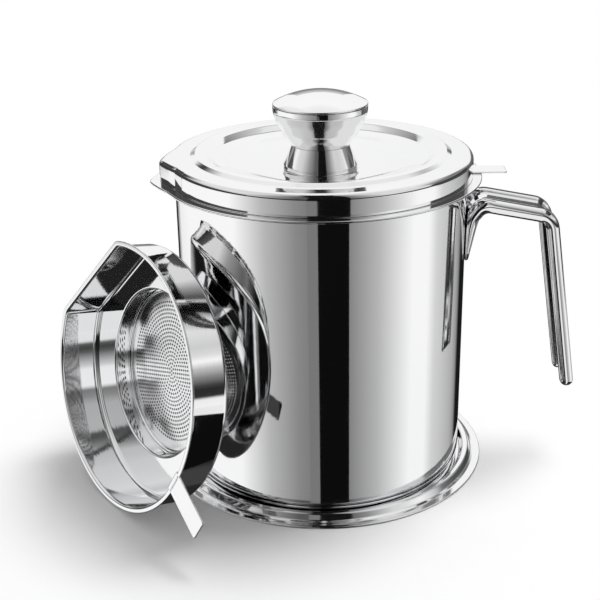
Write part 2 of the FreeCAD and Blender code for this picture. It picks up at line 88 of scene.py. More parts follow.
# %% A socket that can be added, multiplied and compared
class Wire:
    def __init__(self, tree, socket):
        self.tree = tree
        self.socket = socket

    def math(self, operation, *others):
        values = dict(enumerate((self,) + others))
        return make(self.tree, "ShaderNodeMath", {"operation": operation}, values)

    def __add__(self, other):
        return self.math("ADD", other)

    def __radd__(self, other):
        return self.math("ADD", other)

    def __mul__(self, other):
        return self.math("MULTIPLY", other)

    def __rmul__(self, other):
        return self.math("MULTIPLY", other)

    def __sub__(self, other):
        return self.math("SUBTRACT", other)

    def __rsub__(self, other):
        return (self * -1.0) + other

    def __truediv__(self, other):
        return self.math("DIVIDE", other)

    def __pow__(self, other):
        return self.math("POWER", other)

    def clamped(self):
        return self.math("MAXIMUM", 0.0).math("MINIMUM", 1.0)


print("signs a socket takes: + - * / **")

# %% One function for every other node
def make(tree, kind, settings=None, inputs=None, output=0):
    node = tree.nodes.new(kind)
    for name, value in (settings or {}).items():
        if name == "stops":
            fill_ramp(node.color_ramp, value)
        else:
            setattr(node, name, value)
    for name, value in (inputs or {}).items():
        if isinstance(value, Wire):
            tree.links.new(value.socket, node.inputs[name])
        else:
            node.inputs[name].default_value = value
    return Wire(tree, node.outputs[output]) if len(node.outputs) else None


def fill_ramp(ramp, stops):
    while len(ramp.elements) < len(stops):
        ramp.elements.new(1.0)
    for element, (position, level) in zip(ramp.elements, stops):
        element.position = position
        element.color = grey(level)


def parts_of(vector):
    split = make(vector.tree, "ShaderNodeSeparateXYZ", None, {0: vector})
    node = split.socket.node
    return [Wire(vector.tree, node.outputs[k]) for k in range(3)]


def blended(factor, first, second):
    return make(factor.tree, "ShaderNodeMix", {"data_type": "RGBA"},
                {0: factor, 6: first, 7: second}, 2)


def grey(level):
    return (level, level, level, 1.0)


def blank_material(name):
    material = bpy.data.materials.new(name)
    material.use_nodes = True
    material.node_tree.nodes.clear()
    return material, material.node_tree


print("shader helpers: make, parts_of, blended, grey, blank_material")


# %% [markdown]
# ## Polished steel
#
# Mirror-polished steel isn't one flat number. Buffing leaves hair-thin lines that follow
# the turning of the wheel, wiping leaves faint cloudy patches where it is less bright,
# and rolled sheet is never quite even. Lines round an axis need the distance from that
# axis, so the finish works out a radius and lets noise change fast along the radius
# and slowly round it. Each body of steel gets its own numbers.

# %% A finish that any piece of steel can take
SMUDGE_SCALE = 34.0
PATCH_SCALE = 9.0
LINES_ROUND = 14.0


def steel(name, tint, dull, roughness, cloud, lines, depth, place=Matrix()):
    material, tree = blank_material(name)
    spot = make(tree, "ShaderNodeTexCoord", None, None, "Object")
    turn = place.inverted().to_euler()
    shift = place.inverted().to_translation()
    spot = make(tree, "ShaderNodeMapping", None,
                {0: spot, "Location": shift, "Rotation": turn})
    x, y, z = parts_of(spot)
    radius = (x * x + y * y) ** 0.5
    around = make(tree, "ShaderNodeCombineXYZ", None,
                  {0: radius * lines, 1: z * lines, 2: (x - y) * LINES_ROUND})
    hair = make(tree, "ShaderNodeTexNoise", None,
                {"Vector": around, "Scale": 1.0, "Detail": 3.0, "Roughness": 0.6})
    smudge = make(tree, "ShaderNodeTexNoise", None,
                  {"Vector": spot, "Scale": SMUDGE_SCALE, "Detail": 4.0, "Roughness": 0.55})
    patch = make(tree, "ShaderNodeTexNoise", None,
                 {"Vector": spot, "Scale": PATCH_SCALE, "Detail": 2.0, "Roughness": 0.5})
    cloudy = ((smudge - 0.45) * 3.0).clamped()
    colour = blended((patch - 0.35) * 1.6 + (hair - 0.5) * 0.25, tint, dull)
    rough = roughness + cloudy * cloud + (hair - 0.5) * (roughness * 0.5)
    relief = make(tree, "ShaderNodeBump", None,
                  {"Strength": 0.35, "Distance": depth, "Height": hair})
    surface = make(tree, "ShaderNodeBsdfPrincipled", None,
                   {"Base Color": colour, "Metallic": 1.0, "Roughness": rough,
                    "Normal": relief})
    make(tree, "ShaderNodeOutputMaterial", None, {"Surface": surface})
    print("finish:", name)
    return material


# %% [markdown]
# ## Turned and pressed sheets
#
# Most pieces are a line drawn in a plane and carried round an axis. Their corners are
# never sharp: sheet bends on a radius, and a mirror shows at once if that radius is
# missing. So each line is drawn with a radius at every corner, and the exact direction
# of the surface is stored at every point, which a mirror needs more than more faces.

# %% Round the corners of a line
def rounded(corners, closed=False, steps=7):
    line = []
    count = len(corners)
    for index, (across, up, radius) in enumerate(corners):
        here = Vector((across, up))
        before = Vector(corners[index - 1][:2])
        after = Vector(corners[(index + 1) % count][:2])
        if not closed and index == 0:
            line.append((here, (after - here).normalized()))
            continue
        if not closed and index == count - 1:
            line.append((here, (here - before).normalized()))
            continue
        line += bend(before, here, after, radius, steps)
    return line


def bend(before, here, after, radius, steps):
    arriving = (here - before).normalized()
    leaving = (after - here).normalized()
    cross = arriving.x * leaving.y - arriving.y * leaving.x
    turn = math.atan2(cross, arriving.dot(leaving))
    if abs(turn) < 1e-4:
        return [(here, leaving)]
    room = 0.49 * min((here - before).length, (after - here).length)
    reach = min(radius * math.tan(abs(turn) / 2), room)
    radius = reach / math.tan(abs(turn) / 2)
    side = Vector((-arriving.y, arriving.x)) * math.copysign(1, turn)
    start = here - arriving * reach
    centre = start + side * radius
    made = []
    for step in range(steps + 1):
        swing = Matrix.Rotation(turn * step / steps, 2)
        made.append((centre + swing @ (start - centre), swing @ arriving))
    return made


print("a square corner becomes", len(rounded([(0, 0, 0), (5, 0, 1), (5, 5, 0)])), "points")


# %% Carry a line round an axis
AROUND = 288
EVEN = [2 * math.pi * step / AROUND for step in range(AROUND)]


def plain(reach, angle):
    return reach


def carried(line, closed=False, radius=plain, angles=EVEN, place=Matrix()):
    area = sum(a[0].x * b[0].y - b[0].x * a[0].y for a, b in zip(line, line[1:] + line[:1]))
    if area < 0:
        line = [(spot, -along) for spot, along in reversed(line)]

    def at(spot, angle):
        reach = radius(spot.x, angle)
        return Vector((reach * math.cos(angle), reach * math.sin(angle), spot.y))

    points, normals, rows = [], [], []
    for spot, along in line:
        if spot.x < 1e-6:
            rows.append([len(points)])
            points.append(Vector((0, 0, spot.y)))
            normals.append(Vector((0, 0, math.copysign(1, -along.x))))
            continue
        rows.append([len(points) + step for step in range(len(angles))])
        for angle in angles:
            points.append(at(spot, angle))
            onward = at(spot + along * 0.01, angle) - at(spot - along * 0.01, angle)
            sideways = at(spot, angle + 0.001) - at(spot, angle - 0.001)
            normals.append(sideways.cross(onward).normalized())
    faces = []
    pairs = list(zip(rows, rows[1:] + rows[:1]))
    for low, high in pairs if closed else pairs[:-1]:
        faces += strip_faces(low, high, len(angles))
    turn = place.to_3x3()
    return (placed(points, place), faces,
            [(turn @ normal).normalized() for normal in normals])


def placed(points, place=Matrix()):
    return [place @ (point * MM) for point in points]


def strip_faces(low, high, count):
    made = []
    for step in range(count):
        ahead = (step + 1) % count
        if len(low) == 1 and len(high) == 1:
            continue
        if len(low) == 1:
            made.append((low[0], high[ahead], high[step]))
        elif len(high) == 1:
            made.append((low[step], low[ahead], high[0]))
        else:
            made.append((low[step], low[ahead], high[ahead], high[step]))
    return made


def turned_faces(low, high):
    """Faces between the same two rows, seen from their other side."""
    return list(zip(low, high, high[1:] + high[:1], low[1:] + low[:1]))


def row_of(start, count):
    return list(range(start, start + count))


print("a full turn has", AROUND, "steps")


# %% Turn points and faces into a piece of the scene
def piece(name, shape, material, body, slot, *nodes):
    points, faces, normals = shape
    mesh = bpy.data.meshes.new(name)
    mesh.from_pydata([tuple(point) for point in points], [], faces)
    mesh.polygons.foreach_set("use_smooth", [True] * len(faces))
    if normals:
        mesh.normals_split_custom_set_from_vertices([tuple(normal) for normal in normals])
    mesh.materials.append(material)
    made = bpy.data.objects.new(name, mesh)
    bpy.context.scene.collection.objects.link(made)
    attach(made, body)
    if nodes:
        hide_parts(*nodes)
    print("piece: %s, %d faces" % (name, len(faces)))


print("a shape is its points, its faces and the direction of the surface at each point")


# %% [markdown]
# ## The camera
#
# A long lens from a little above, as for a catalogue picture. The place and the turn
# were worked out from the ellipses of the lip, the lid and the tray.

# %% Place the camera
def aim(place, yaw, pitch, roll, lens):
    yaw, pitch, roll = (math.radians(value) for value in (yaw, pitch, roll))
    ahead = Vector((math.sin(yaw) * math.cos(pitch), math.cos(yaw) * math.cos(pitch),
                    -math.sin(pitch)))
    right = Vector((math.cos(yaw), -math.sin(yaw), 0))
    above = right.cross(ahead)
    across = right * math.cos(roll) + above * math.sin(roll)
    upward = above * math.cos(roll) - right * math.sin(roll)
    data = bpy.data.cameras.new("camera")
    data.lens = lens
    data.sensor_width = 36.0
    data.clip_start = 0.01
    data.clip_end = 50.0
    made = bpy.data.objects.new("camera", data)
    turn = Matrix((across, upward, -ahead)).transposed()
    made.matrix_world = Matrix.Translation(place) @ turn.to_4x4()
    bpy.context.scene.collection.objects.link(made)
    bpy.context.scene.camera = made


CAMERA_PLACE = Vector((0, -0.4661, 0.2586))
YAW, PITCH, ROLL = -1.16, 22.01, -0.94
LENS = 70.0
aim(CAMERA_PLACE, YAW, PITCH, ROLL, LENS)
print("camera: %g mm lens, looking down by %g degrees" % (LENS, PITCH))

# %% [markdown]
# ## The room that the steel shows
#
# Catalogue steel is photographed in a white tent with black and grey cards. A mirror
# shows one direction of that tent at each of its points, so the room is described by
# direction: a compass bearing, nought towards the camera and ninety to the right, and a
# height, the upward part of the direction. Walls that stand upright show the low room,
# the lid shows the back of it, and the strainer shows a strip from floor to ceiling.
# The world holds this room for reflections only. For soft light it is plain white, at
# half strength.

# %% Light and dark by bearing and by height
def bearings(*stops):
    return [(angle / 360.0 + 0.5, level) for angle, level in stops]


def heights(*stops):
    return [((height + 1) / 2, level) for height, level in stops]


LOW_ROOM = bearings(
    (-180, 0.01), (-158, 0.01), (-146, 0.9), (-124, 1.0), (-72, 1.0), (-44, 0.5), (-20, 0.27),
    (-9, 0.22), (-8, 0.9), (16, 0.9), (19, 0.22), (45, 0.5), (76, 1.0), (92, 1.0),
    (102, 0.7), (132, 0.45), (140, 0.3), (146, 0.01), (180, 0.01))
LOW_BELT = heights((-1, 0), (-0.55, 0), (-0.53, 1), (-0.27, 1), (-0.25, 0), (1, 0))
SIDES = heights(
    (-1, 0.08), (-0.85, 0.02), (-0.62, 0.012), (-0.57, 0.1), (-0.25, 0.95), (-0.16, 0.9),
    (-0.125, 0.03), (-0.03, 0.025), (0.02, 0.06), (0.12, 0.25), (0.22, 0.55), (0.3, 1.0),
    (0.37, 0.75), (0.45, 0.65), (0.6, 0.8), (0.9, 0.7), (1, 0.5))
FRONT = heights(
    (-1, 0.9), (-0.6, 0.9), (-0.3, 0.95), (-0.13, 0.9), (-0.09, 0.12),
    (-0.03, 0.06), (0.03, 0.12), (0.12, 0.38), (0.22, 0.7), (0.27, 1.0), (0.49, 1.0),
    (0.54, 0.22), (0.62, 0.3), (0.7, 0.48), (0.9, 0.52), (1, 0.4))
BACK = heights((-1, 0.02), (-0.3, 0.02), (-0.02, 0.3), (0.02, 0.95), (0.8, 1.0), (1, 0.8))
LEFT_BACK = heights(
    (-1, 0.02), (-0.1, 0.03), (0.05, 0.1), (0.24, 0.6), (0.3, 0.05), (0.48, 0.05),
    (0.66, 0.85), (1, 0.9))
RIGHT_BACK = heights(
    (-1, 0.05), (-0.1, 0.06), (0.1, 0.1), (0.3, 0.3), (0.5, 0.16), (0.6, 0.4),
    (0.75, 0.85), (1, 0.85))
CENTRE_SHADE = bearings(
    (-180, 1), (-64, 1), (-40, 0.45), (-18, 0.14), (18.5, 0.14), (32, 0.4), (52, 1), (180, 1))
IN_FRONT = bearings((-180, 0), (-9, 0), (-8, 1), (17, 1), (18, 0), (180, 0))
AT_BACK = bearings((-180, 1), (-156, 1), (-150, 0), (142, 0), (150, 1), (180, 1))
BESIDE_BACK = bearings(
    (-180, 0), (-167, 0), (-163, 0.7), (-150, 0.7), (-146, 0), (140, 0), (144, 1), (162, 1),
    (166, 0), (180, 0))
RIM_BELT = heights((-1, 0), (-0.06, 0), (-0.02, 1), (0.14, 1), (0.19, 0), (1, 0))
AT_LEFT_BACK = bearings((-180, 0), (-156, 0), (-150, 1), (-126, 1), (-122, 0), (180, 0))
AT_RIGHT_BACK = bearings((-180, 0), (90, 0), (96, 1), (142, 1), (150, 0), (180, 0))
RIM_LEVEL = 0.16
WHITE = grey(1.0)


def room():
    world = bpy.data.worlds.new("room")
    bpy.context.scene.world = world
    world.use_nodes = True
    tree = world.node_tree
    tree.nodes.clear()
    x, y, z = parts_of(make(tree, "ShaderNodeTexCoord", None, None, "Generated"))
    compass = x.math("ARCTAN2", y * -1.0) / (2 * math.pi) + 0.5
    height = (z + 1.0) * 0.5

    def by(place, stops):
        return make(tree, "ShaderNodeValToRGB", {"stops": stops}, {0: place})

    seen = by(height, SIDES) * by(compass, CENTRE_SHADE)
    for where, what in ((IN_FRONT, FRONT), (AT_LEFT_BACK, LEFT_BACK),
                        (AT_RIGHT_BACK, RIGHT_BACK), (AT_BACK, BACK)):
        seen = blended(by(compass, where), seen, by(height, what))
    rim = by(compass, BESIDE_BACK) * by(height, RIM_BELT)
    seen = blended(rim, seen, grey(RIM_LEVEL))
    seen = blended(by(height, LOW_BELT), seen, by(compass, LOW_ROOM))
    ray = make(tree, "ShaderNodeLightPath").socket.node
    glossy = Wire(tree, ray.outputs["Is Glossy Ray"])
    colour = blended(glossy, WHITE, seen)
    diffuse = Wire(tree, ray.outputs["Is Diffuse Ray"])
    light = make(tree, "ShaderNodeBackground", None,
                 {"Color": colour, "Strength": 1.0 - diffuse * 0.5})
    make(tree, "ShaderNodeOutputWorld", None, {"Surface": light})


room()
bpy.context.scene.view_settings.view_transform = "Standard"
print("the room is hung")

# %% [markdown]
# ## Cards, floor and lamp
#
# Some dark places belong to one form alone, so a card stands close to it: a tall black
# one before the pot, one above the knob, narrow ones at the lid's sides, a small one by
# the leaning strainer and a grey one behind the knob. Only reflections see the cards.
# The floor is pale, white where it is far from the pot, and lit by one soft lamp.

# %% Stand the cards
def emitting(name, low, high, bottom, top):
    material, tree = blank_material(name)
    height = parts_of(make(tree, "ShaderNodeTexCoord", None, None, "Object"))[2]
    share = ((height - bottom) / (top - bottom)).clamped()
    colour = blended(share, grey(low), grey(high))
    light = make(tree, "ShaderNodeEmission", None, {"Color": colour})
    make(tree, "ShaderNodeOutputMaterial", None, {"Surface": light})
    return material


def staged(name, points, faces, material):
    mesh = bpy.data.meshes.new(name)
    mesh.from_pydata(points, [], faces)
    mesh.materials.append(material)
    made = bpy.data.objects.new(name, mesh)
    bpy.context.scene.collection.objects.link(made)
    return made


def card(name, corners, low=0.004, high=0.008, bottom=0.0, top=1.0):
    made = staged(name, corners, [(0, 1, 2, 3)], emitting(name, low, high, bottom, top))
    made.visible_camera = made.visible_diffuse = made.visible_shadow = False
    print("card:", name)


def upright(near, far, bottom, top):
    return [(*near, bottom), (*far, bottom), (*far, top), (*near, top)]


def level(left, right, front, back, height):
    return [(left, front, height), (right, front, height), (right, back, height),
            (left, back, height)]


def shaded_card(name, near, far, bottom, top, low, high):
    card(name, upright(near, far, bottom, top), low, high, bottom, top)


BEFORE = -0.2
SPLIT = -0.008
LOWEST, HIGHEST = -0.6, 1.4
GREY_TOP, KNOB_TOP = 0.0945, 0.28
card("tall_card", upright((SPLIT, BEFORE), (0.065, BEFORE), LOWEST, HIGHEST))
card("grey_card", upright((-0.032, BEFORE), (SPLIT, BEFORE), LOWEST, GREY_TOP), 0.2, 0.2)
card("knob_front_card", upright((-0.03, BEFORE), (SPLIT, BEFORE), GREY_TOP, KNOB_TOP))
card("upper_card", upright((-0.045, BEFORE), (SPLIT, BEFORE), KNOB_TOP, HIGHEST))
card("strainer_card", upright((0.015, -0.112), (0.015, -0.082), LOWEST, 0.0335))
card("ceiling_card", level(-0.05, 0.03, BEFORE, -0.055, 0.42))

BESIDE_LEFT, BESIDE_RIGHT, BEHIND = -0.12, 0.13, 0.05
LID_LEVEL, ABOVE_KNOB = 0.137, 0.165
shaded_card("left_card", (BESIDE_LEFT, -0.045), (BESIDE_LEFT, 0.06), LID_LEVEL, ABOVE_KNOB,
            0.02, 0.1)
shaded_card("nose_card", (BESIDE_LEFT, -0.12), (BESIDE_LEFT, -0.045), 0.128, ABOVE_KNOB,
            0.02, 0.1)
shaded_card("right_card", (BESIDE_RIGHT, -0.05), (BESIDE_RIGHT, 0.05), LID_LEVEL, ABOVE_KNOB,
            0.02, 0.1)
shaded_card("web_card", (0.066, BEHIND), (BESIDE_RIGHT, BEHIND), 0.11, LID_LEVEL, 0.07, 0.14)
shaded_card("knob_card", (-0.02, 0.06), (0.02, 0.06), 0.1605, 0.186, 0.12, 0.7)

# %% A pale floor and one large soft lamp
POT_SHADE = (-0.03, -0.04)
FADE_FROM, FADE_RUN = 0.085, 0.06
FLOOR_HALF, FLOOR_LEVEL = 8, -0.00005


def floor():
    material, tree = blank_material("pale_floor")
    spot = make(tree, "ShaderNodeTexCoord", None, None, "Object")
    grain = make(tree, "ShaderNodeTexNoise", None, {"Vector": spot, "Scale": 60.0})
    colour = blended(grain, grey(0.97), grey(0.99))
    pale = make(tree, "ShaderNodeBsdfDiffuse", None, {"Color": colour})
    white = make(tree, "ShaderNodeEmission", None, {"Strength": 1.0})
    x, y, z = parts_of(spot)
    away = ((x + -POT_SHADE[0]) ** 2.0 + (y + -POT_SHADE[1]) ** 2.0) ** 0.5
    ray = make(tree, "ShaderNodeLightPath", None, None, "Is Camera Ray")
    share = ((away - FADE_FROM) / FADE_RUN).clamped() * ray
    surface = make(tree, "ShaderNodeMixShader", None, {0: share, 1: pale, 2: white})
    make(tree, "ShaderNodeOutputMaterial", None, {"Surface": surface})
    corners = level(-FLOOR_HALF, FLOOR_HALF, -FLOOR_HALF, FLOOR_HALF, FLOOR_LEVEL)
    staged("floor", corners, [(0, 1, 2, 3)], material).visible_glossy = False


def lamp(name, place, target, size, power):
    data = bpy.data.lights.new(name, "AREA")
    data.shape = "DISK"
    data.size = size
    data.energy = power
    made = bpy.data.objects.new(name, data)
    made.location = place
    made.visible_glossy = False
    aimed = Vector(target) - Vector(place)
    made.rotation_euler = aimed.to_track_quat("-Z", "Y").to_euler()
    bpy.context.scene.collection.objects.link(made)


LAMP_PLACE, LAMP_TARGET = (0.4, 0.25, 1.4), (0, 0, 0.05)
LAMP_SIZE, LAMP_POWER = 0.6, 13.0
floor()
lamp("soft_lamp", LAMP_PLACE, LAMP_TARGET, LAMP_SIZE, LAMP_POWER)
print("the floor is laid and the lamp is lit")

# %% [markdown]
# ## The finishes of this pot
#
# The sheets are all one steel, but not one surface. The lid and tray were spun and
# buffed, the pot was drawn and buffed, the handle was pressed, and the strainer was
# pressed twice and cleaned less. The differences are small and show in the blur.

# %% Name the finishes
BRIGHT = (0.93, 0.93, 0.935, 1.0)
SHADE = (0.86, 0.865, 0.875, 1.0)
POT_STEEL = steel("pot_steel", BRIGHT, SHADE, 0.035, 0.03, 900.0, 0.00002)
LID_STEEL = steel("lid_steel", BRIGHT, SHADE, 0.06, 0.04, 700.0, 0.00003)
TRAY_STEEL = steel("tray_steel", BRIGHT, SHADE, 0.06, 0.05, 700.0, 0.00003)
KNOB_STEEL = steel("knob_steel", BRIGHT, SHADE, 0.045, 0.03, 1500.0, 0.00002)
HANDLE_STEEL = steel("handle_steel", BRIGHT, SHADE, 0.06, 0.05, 300.0, 0.00003)
SCREW_STEEL = steel("screw_steel", (0.6, 0.6, 0.61, 1.0), (0.5, 0.5, 0.51, 1.0),
                    0.3, 0.12, 2500.0, 0.00008)

# %% [markdown]
# ## The tray
#
# A flat plate with a ring pressed up round the pot's foot and a flat margin outside it.

# %% Turn the tray
TRAY_EDGE = 70.0
TRAY = rounded([
    (0, 0, 0), (61.2, 0, 0.6), (62.4, 3.0, 0.6), (64.0, 3.0, 0.8), (65.9, 0.3, 0.6),
    (66.8, 0, 0.5), (TRAY_EDGE, 0, 0.38), (TRAY_EDGE, SHEET, 0.38), (67.1, SHEET, 1.2),
    (65.9, 1.4, 0.9), (64.5, 3.75, 1.2), (62.4, 3.8, 0.9), (61.0, SHEET, 0.7), (0, SHEET, 0)])
piece("tray_plate", carried(TRAY), TRAY_STEEL, "tray", "tray_steel", "tray")

# %% [markdown]
# ## The pot
#
# A drawn cylinder with a rounded foot and a flat lip. At one side the lip runs out into
# a pouring nose: two straight lines that leave the circle and meet in a small round.
# The same bulge is added to the circle for every line that belongs to the lip.

# %% A circle with a pointed nose
NOSE_BEARING = 188.0
NOSE = math.radians(NOSE_BEARING)
NOSE_WIDTH = 26
TIP_SHARE, TIP_FALL = 0.8, 0.9
CREASE = 0.01


def fine_angles(places, width, coarse=1.25, fine=0.2):
    angles = []
    angle = 0.0
    while angle < 360.0 - 1e-6:
        angles.append(math.radians(angle))
        near = min(abs((angle - place + 180) % 360 - 180) for place in places)
        angle += fine if near < width else coarse
    return angles


def nosed(circle, reach, start, tip_round=1.2):
    lean = math.acos(circle / reach)

    def radius(amount, angle):
        off = abs((angle - NOSE + math.pi) % (2 * math.pi) - math.pi)
        if off > lean:
            return amount
        line = circle / math.cos(lean - off)
        blunt = reach - tip_round * TIP_SHARE - off * off * reach * TIP_FALL
        line = -soft_least(-line, -circle, CREASE)
        line = soft_least(line, max(blunt, circle), tip_round)
        share = min(max((amount - start) / (circle - start), 0.0), 1.0)
        return amount + share * (line - circle)
    return radius


def soft_least(first, second, width):
    share = min(max(0.5 + 0.5 * (second - first) / width, 0.0), 1.0)
    return second + (first - second) * share - width * share * (1 - share)


NOSE_ANGLES = fine_angles([NOSE_BEARING], NOSE_WIDTH)
print("points round the lip:", len(NOSE_ANGLES))

# %% Turn the pot and its lip
POT_NOSE, POT_NOSE_START = 71.0, 60.6
POT = rounded([
    (0, POT_FOOT, 0), (POT_OUT, POT_FOOT, 4.5), (POT_OUT, LIP_FOOT, 0.7),
    (LIP_OUT, LIP_FOOT, 0.45), (LIP_OUT, LIP_TOP, 0.45), (MOUTH, LIP_TOP, 0.45),
    (MOUTH, LIP_FOOT, 0.45), (POT_IN, LIP_FOOT, 0.5), (POT_IN, POT_FOOT + SHEET, 3.7),
    (0, POT_FOOT + SHEET, 0)], steps=10)
pot_radius = nosed(LIP_OUT, POT_NOSE, POT_NOSE_START)
piece("pot_wall", carried(POT, radius=pot_radius, angles=NOSE_ANGLES), POT_STEEL, "pot",
      "pot_steel", "pot_body")

# %% [markdown]
# ## The lid
#
# The skirt stands on the lip. Above it come a round bend, a flat margin, a raised ring
# and a dish that carries the knob. A notch in the skirt lets the strainer's tab out,
# and here the skirt's foot is lifted over the tab instead of being cut.

# %% Turn the lid
DISH_UNDER = DISH - SHEET
LID_UNDER = LID_TOP - SHEET
LID = rounded([
    (LID_OUT, SKIRT_FOOT, 0.35), (LID_OUT, LID_TOP, 2.3), (53.4, LID_TOP, 0.8),
    (51.3, 137.2, 1.1), (49.4, 137.4, 1.6), (47.2, 136.8, 1.4), (44.0, 134.7, 2.4),
    (32.0, 130.9, 60), (17.0, DISH, 60), (15.0, DISH, 1), (SCREW_HOLE, DISH, 0.2),
    (SCREW_HOLE, DISH_UNDER, 0.2), (15.0, DISH_UNDER, 1), (17.0, DISH_UNDER, 60),
    (32.1, 130.1, 60), (44.2, 133.9, 2.4), (47.6, 135.9, 1.2), (49.4, 136.2, 2.0),
    (51.2, 136.0, 1.2), (52.4, LID_UNDER, 0.8), (LID_IN, LID_UNDER, 1.5),
    (LID_IN, SKIRT_FOOT, 0.35)], closed=True, steps=10)
LID_NOSE, LID_NOSE_START = 66.9, 53.0
NOTCH_HALF, NOTCH_TOP, NOTCH_FOOT = 5.6 * MM, 128.3 * MM, 128.31 * MM


def notched(shape):
    points, faces, normals = shape
    for point in points:
        at_tab = point.x > 0 and abs(point.y) < NOTCH_HALF
        if at_tab and point.z < NOTCH_TOP:
            point.z = NOTCH_FOOT
    return points, faces, normals


LID_ANGLES = fine_angles([NOSE_BEARING, 0], NOSE_WIDTH)
lid_shape = carried(LID, True, nosed(LID_OUT, LID_NOSE, LID_NOSE_START), LID_ANGLES)
piece("lid_sheet", notched(lid_shape), LID_STEEL, "lid", "lid_steel", "lid_shell")

# %% [markdown]
# ## The knob
#
# Three turned pieces on one screw: a cone, a flaring cup, and a domed plate that closes
# the cup and leaves a fine seam round it.

# %% Turn the knob
CUP_HOLE, CUP_FLOOR = 2.02, 142.6
CUP_WIDE, CUP_TOP = 19.4, 155.25
CAP_FOOT = CUP_TOP + 2 * GAP
CONE = rounded([
    (SCREW_HOLE, DISH, 0.1), (15.5, DISH, 0.3), (15.5, 131.2, 0.5),
    (12.0, KNOB_WAIST, 0.2), (SCREW_HOLE, KNOB_WAIST, 0.1)], closed=True)
CUP = rounded([
    (CUP_HOLE, KNOB_WAIST, 0.1), (11.9, KNOB_WAIST, 0.6), (13.2, 140.7, 3),
    (16.0, 145.0, 14), (18.3, 149.3, 10), (19.3, 152.9, 5), (CUP_WIDE, CUP_TOP, 0.15),
    (18.2, CUP_TOP, 0.15), (18.0, 153.0, 5), (17.0, 149.6, 8), (14.2, 145.2, 6),
    (11.4, CUP_FLOOR, 1.0), (CUP_HOLE, CUP_FLOOR, 0.1)], closed=True)


def dome(wide, edge, rise, steps=16):
    ball = (wide * wide + rise * rise) / (2 * rise)
    made = []
    for step in range(steps + 1):
        across = wide * (1 - step / steps)
        height = edge + rise - ball + math.sqrt(ball * ball - across * across)
        made.append((Vector((across, height)),
                     Vector((edge + rise - ball - height, across)).normalized()))
    return made


CAP_RIM = rounded([(0, CAP_FOOT, 0), (19.0, CAP_FOOT, 0.25), (CUP_WIDE, 155.75, 0.3),
                   (19.3, 156.05, 0)])
CAP = CAP_RIM + dome(19.2, 156.1, 4.95)
piece("knob_cone", carried(CONE, True), KNOB_STEEL, "lid", "knob_steel", "knob_base")
piece("knob_flare", carried(CUP, True), KNOB_STEEL, "lid", "knob_steel", "knob_cup")
piece("knob_plate", carried(CAP), KNOB_STEEL, "lid", "knob_steel", "knob_cap")

# %% Keep the screw and its washer as they are
for name in ("knob_screw", "knob_washer"):
    made = frame["nodes"][name]
    made.data.materials.clear()
    made.data.materials.append(SCREW_STEEL)
    print("kept:", name)

# %% [markdown]
# ## The handle
#
# One strip, bent twice, whose long edges are rolled into round beads with a hollow web
# between them. The foot is bent down, gets thinner and lies against the pot, curved to
# its wall. The section is carried along the bent line, and the far end is rounded off.

# %% Bend the strip
FOOT, KNEE = 92.0, 110.4
FOOT_EDGE, THINNEST = 62.0, 0.3
HUG_EDGE, HUG_TOP, HUG_RUN = 75.0, 113.0, 6.0
WALL_GAP = 0.02
HANDLE_LINE = rounded([(POT_OUT + WALL_GAP, FOOT, 0), (POT_OUT + WALL_GAP, 118.9, 8.5),
                       (96.9, 111.9, 9.5), (108.6, 33.6, 0)], steps=18)
HANDLE_SECTION = rounded([
    (-12, 0, 2.75), (-6.6, 0, 2.2), (-5.6, 1.5, 1.2), (0, 1.9, 12), (5.6, 1.5, 1.2),
    (6.6, 0, 2.2), (12, 0, 2.75), (12, 5.6, 2.75), (6.6, 5.6, 2.6), (6.2, 2.9, 0.5),
    (0, 3.1, 20), (-6.2, 2.9, 0.5), (-6.6, 5.6, 2.6), (-12, 5.6, 2.75)],
    closed=True, steps=6)
ROLL = 2.8
BEAD = 9.2
WEB = 6.0
TIP_STEPS, TIP_LEAST = 8, 0.02


def filled(line, gap=4.0):
    made = []
    for (start, along), (end, onward) in zip(line, line[1:]):
        made.append((start, along))
        extra = int((end - start).length // gap)
        made += [(start.lerp(end, (k + 1) / (extra + 1)), along) for k in range(extra)]
    return made + [line[-1]]


def strip_point(spot, along, width, depth):
    inward = Vector((along.y, -along.x))
    on_foot = spot.x < FOOT_EDGE and spot.y < KNEE
    climb = (1 - THINNEST) * (spot.y - FOOT) / (KNEE - FOOT)
    thin = THINNEST + climb if on_foot else 1.0
    here = spot + inward * depth * thin
    hug = min(max((HUG_TOP - spot.y) / HUG_RUN, 0.0), 1.0) if spot.x < HUG_EDGE else 0.0
    curve = POT_OUT - math.sqrt(POT_OUT ** 2 - width ** 2)
    return Vector((here.x - hug * curve, width, here.y))


def shrunk(cut, share):
    middle = math.copysign(BEAD, cut.x) if abs(cut.x) > WEB else cut.x
    centre = Vector((middle, ROLL))
    return centre + (cut - centre) * share


print("handle: %d points along, %d round" % (len(HANDLE_LINE), len(HANDLE_SECTION)))


# %% Carry the section along the strip
def handle_shape():
    line = [(spot, along, 1.0) for spot, along in filled(HANDLE_LINE)]
    tip, along, _ = line.pop()
    for step in range(TIP_STEPS + 1):
        turn = math.pi / 2 * step / TIP_STEPS
        back = ROLL * (1 - math.sin(turn))
        line.append((tip - along * back, along, max(math.cos(turn), TIP_LEAST)))
    count = len(HANDLE_SECTION)
    points = []
    for spot, along, share in line:
        for cut, around in HANDLE_SECTION:
            points.append(strip_point(spot, along, *shrunk(cut, share)))
    rows = [row_of(row * count, count) for row in range(len(line))]
    faces = []
    for low, high in zip(rows, rows[1:]):
        faces += turned_faces(low, high)
    faces += [tuple(rows[0]), tuple(reversed(rows[-1]))]
    return placed(points), faces, None


piece("handle_strip", handle_shape(), HANDLE_STEEL, "pot", "handle_steel", "handle")

